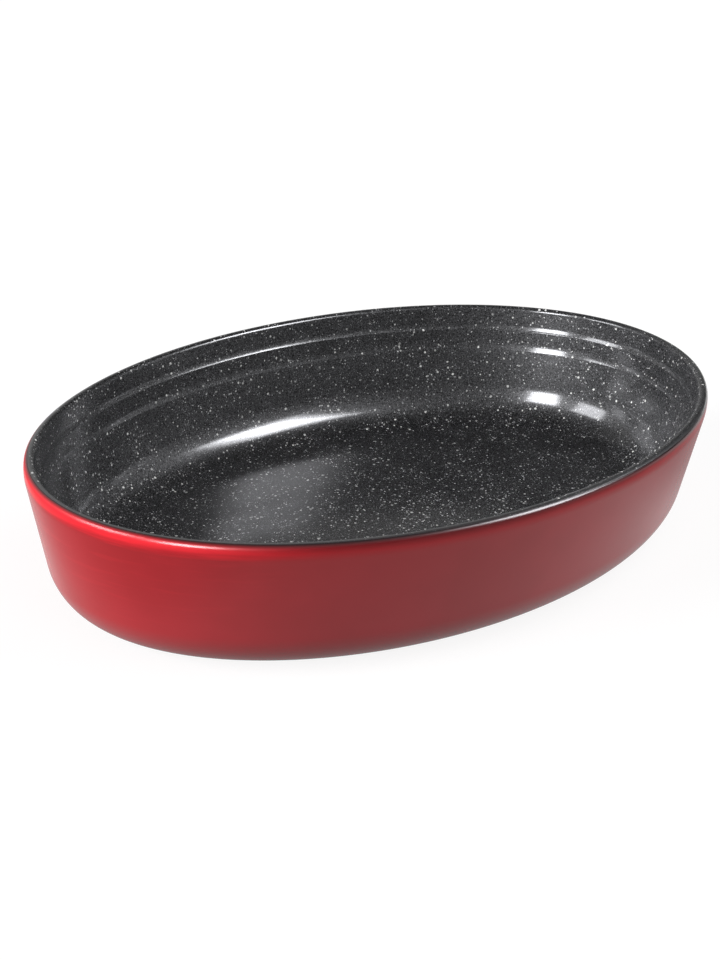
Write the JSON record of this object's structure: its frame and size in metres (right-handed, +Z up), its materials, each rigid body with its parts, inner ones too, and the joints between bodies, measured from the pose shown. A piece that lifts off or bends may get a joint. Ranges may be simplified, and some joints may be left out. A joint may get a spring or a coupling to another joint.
{
  "type": "oval baking dish",
  "caption": "Oval baking dish with a leaning wall, a stepped and speckled non-stick lining, a glossy red outside and a flat foot ring; it stands free and holds food in an oven.",
  "frame": {"origin": "middle of the base, on the plane that the foot ring stands on", "axes": "+X along the dish, +Y across it, +Z up out of its mouth"},
  "size_m": [0.32, 0.218, 0.059],
  "materials": {
    "cast_aluminium": "satin",
    "speckled_non_stick": "satin",
    "red_lacquer": "gloss"
  },
  "bodies": {
    "root": {"dish_body": "cast_aluminium", "speckled_lining": "speckled_non_stick", "outer_red_coat": "red_lacquer", "recess_red_coat": "red_lacquer"}
  },
  "joints": []
}
